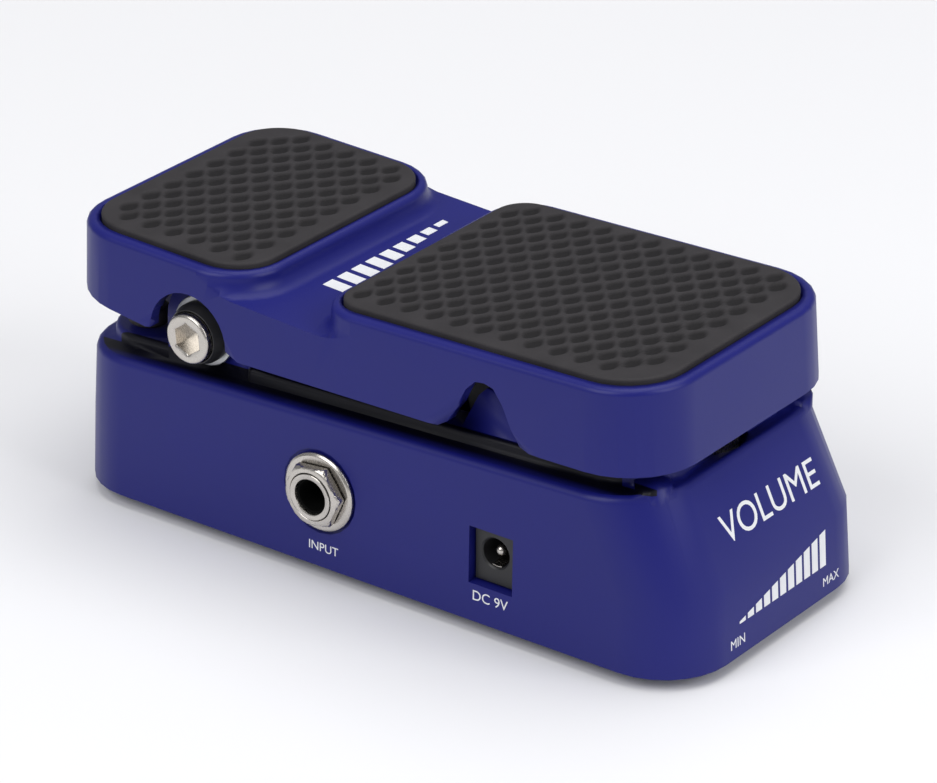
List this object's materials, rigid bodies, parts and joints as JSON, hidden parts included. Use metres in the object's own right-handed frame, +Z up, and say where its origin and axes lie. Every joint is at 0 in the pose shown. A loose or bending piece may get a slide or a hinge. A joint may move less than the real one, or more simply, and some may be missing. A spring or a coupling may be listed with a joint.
{
  "type": "volume pedal",
  "caption": "Compact treadle volume pedal: a rocking footboard with rubber pads on a cast base, with side jacks, a power socket and a toe switch.",
  "frame": {"origin": "on the floor under the middle of the pedal", "axes": "+X along the pedal from heel to toe, +Z up, input jack and power socket on the -Y side"},
  "size_m": [0.143, 0.0686, 0.0573],
  "materials": {
    "blue_paint": "satin",
    "black_rubber": "matte",
    "black_plastic": "matte",
    "nickel": "satin",
    "zinc_steel": "satin",
    "white_nylon": "satin",
    "green_board": "satin",
    "red_lens": "gloss"
  },
  "bodies": {
    "base": {"base_housing": "blue_paint", "bottom_plate": "zinc_steel", "pot_body": "zinc_steel", "pot_bracket": "zinc_steel", "toe_switch_washer": "zinc_steel", "plate_screw_toe_left": "zinc_steel", "plate_screw_toe_right": "zinc_steel", "plate_screw_heel_left": "zinc_steel", "plate_screw_heel_right": "zinc_steel", "board_screw_toe_left": "zinc_steel", "board_screw_toe_right": "zinc_steel", "board_screw_heel_left": "zinc_steel", "board_screw_heel_right": "zinc_steel", "pivot_washer_left": "zinc_steel", "pivot_washer_right": "zinc_steel", "bracket_screw_heel": "zinc_steel", "bracket_screw_toe": "zinc_steel", "foot_toe_left": "black_rubber", "foot_toe_right": "black_rubber", "foot_heel_left": "black_rubber", "foot_heel_right": "black_rubber", "toe_stop_left": "black_rubber", "toe_stop_right": "black_rubber", "heel_stop_left": "black_rubber", "heel_stop_right": "black_rubber", "pivot_bush_left": "black_plastic", "pivot_bush_right": "black_plastic", "toe_switch_body": "black_plastic", "input_jack_body": "black_plastic", "output_jack_body": "black_plastic", "dc_jack_body": "black_plastic", "pot_nut": "nickel", "toe_switch_nut": "nickel", "input_jack_sleeve": "nickel", "input_jack_washer": "nickel", "input_jack_nut": "nickel", "output_jack_sleeve": "nickel", "output_jack_washer": "nickel", "output_jack_nut": "nickel", "dc_jack_pin": "nickel", "circuit_board": "green_board", "mode_lamp": "red_lens"},
    "treadle_body": {"treadle": "blue_paint", "heel_pad": "black_rubber", "toe_pad": "black_rubber", "pivot_bolt_left": "nickel", "pivot_bolt_right": "nickel", "drive_sector": "white_nylon", "sector_screw_left": "zinc_steel", "sector_screw_right": "zinc_steel", "toe_bumper": "black_rubber"},
    "pot_spindle": {"pinion": "white_nylon", "pot_shaft": "zinc_steel"},
    "switch_plunger": {"toe_switch_plunger": "black_plastic"}
  },
  "joints": [
    {"name": "treadle_tilt", "type": "hinge", "parent": "base", "child": "treadle_body", "pos_m": [-0.04, 0, 0.04], "axis": [0, 1, 0], "range_deg": [-11, 1.7]},
    {"name": "pot_spin", "type": "hinge", "parent": "base", "child": "pot_spindle", "pos_m": [0.02198, 0, 0.0385], "axis": [0, 1, 0], "range_deg": [-17, 103.5]},
    {"name": "plunger_press", "type": "slide", "parent": "base", "child": "switch_plunger", "axis": [0, 0, -1], "range_m": [0, 0.002], "stiffness_N_per_m": 2500, "springref_m": -0.0008}
  ],
  "couplings": [
    {"joint": "pot_spin", "follows": "treadle_tilt", "ratio": -9.3333}
  ]
}
